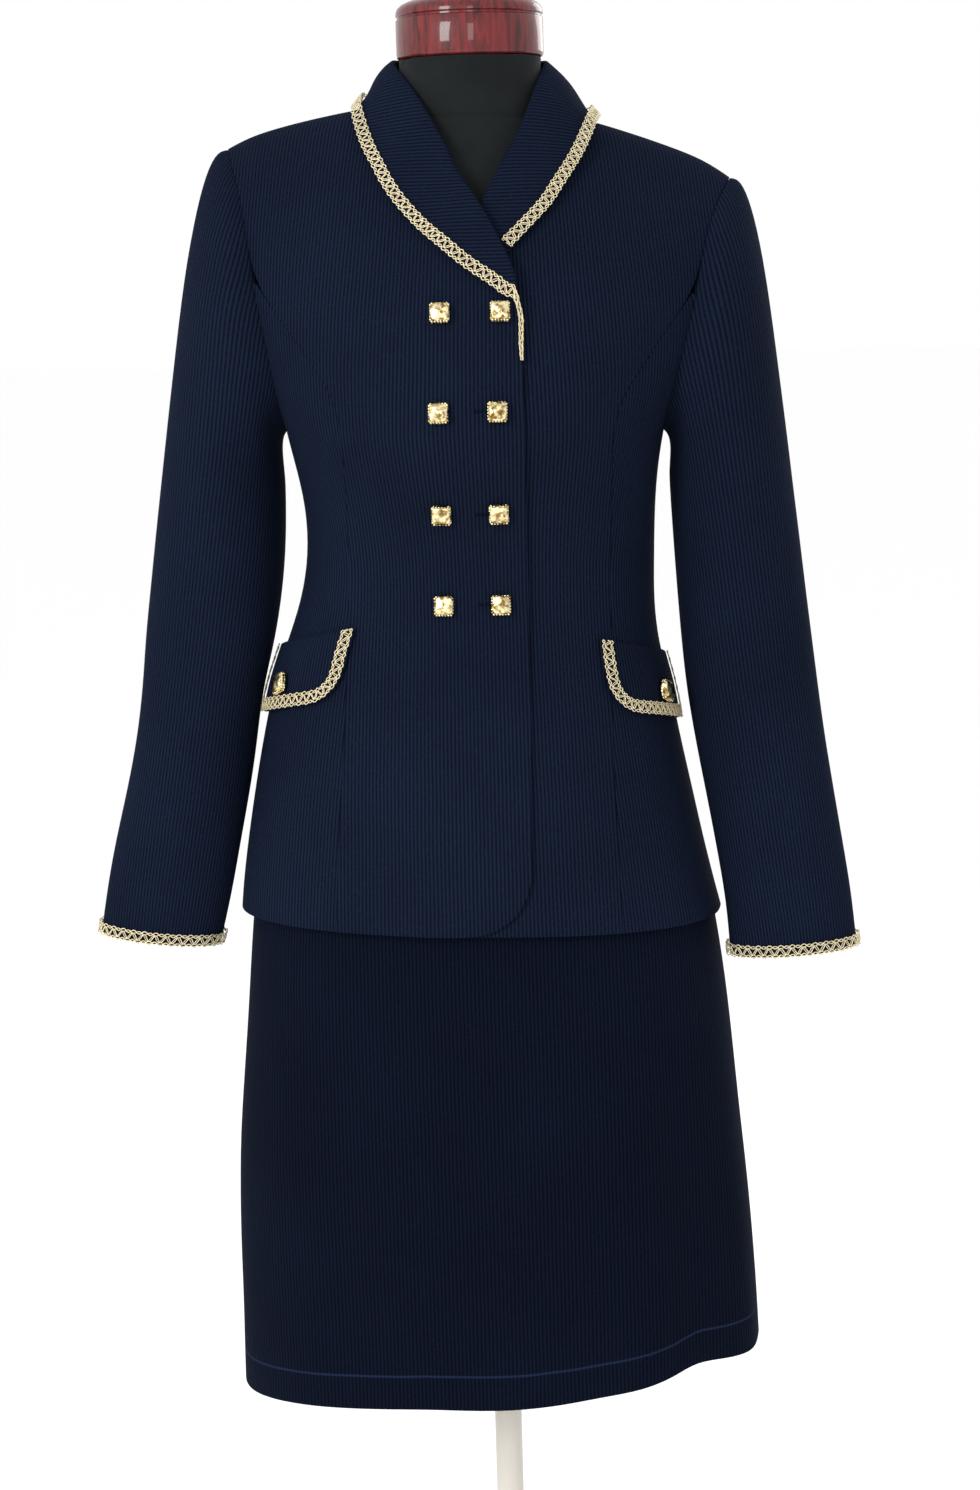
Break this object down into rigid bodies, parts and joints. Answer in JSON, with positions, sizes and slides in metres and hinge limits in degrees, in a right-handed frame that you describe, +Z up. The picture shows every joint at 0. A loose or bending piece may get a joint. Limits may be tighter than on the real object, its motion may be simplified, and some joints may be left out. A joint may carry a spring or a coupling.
{
  "type": "skirt suit on a dress form",
  "caption": "Navy rib-knit skirt suit: double-breasted jacket with shawl collar, pocket flaps and gold braid, over a straight skirt, filled out on a limbless dress form with a pole stand.",
  "frame": {"origin": "centre of the base's underside, on the pole's axis", "axes": "+Z up along the pole, the suit's front faces -Y, +X is the viewer's right and the wearer's left"},
  "size_m": [0.6316, 0.35, 1.596],
  "materials": {
    "knit": "navy wool rib knit, matt, the ribs run down the cloth",
    "gold_braid": "pale gold gimp braid, interlaced, a little glossy",
    "gold_metal": "polished gold-plated nugget buttons",
    "jersey": "black cotton jersey",
    "wood": "mahogany-red, turned and lacquered",
    "pole_paint": "pale warm grey paint, satin",
    "base_paint": "pale warm grey paint, satin"
  },
  "bodies": {
    "root": {"right_front": "knit", "left_front": "knit", "right_side_front": "knit", "left_side_front": "knit", "back": "knit", "right_sleeve": "knit", "left_sleeve": "knit", "shawl_collar": "knit", "right_pocket_flap": "knit", "left_pocket_flap": "knit", "collar_braid": "gold_braid", "right_cuff_braid": "gold_braid", "left_cuff_braid": "gold_braid", "right_flap_braid": "gold_braid", "left_flap_braid": "gold_braid", "front_button_1": "gold_metal", "front_button_2": "gold_metal", "front_button_3": "gold_metal", "front_button_4": "gold_metal", "front_button_5": "gold_metal", "front_button_6": "gold_metal", "front_button_7": "gold_metal", "front_button_8": "gold_metal", "right_flap_button": "gold_metal", "left_flap_button": "gold_metal", "skirt_front": "knit", "skirt_back": "knit", "skirt_waistband": "knit", "form_torso": "jersey", "neck_cap": "wood", "pole": "pole_paint", "pole_collar": "pole_paint", "base": "base_paint"}
  },
  "joints": []
}
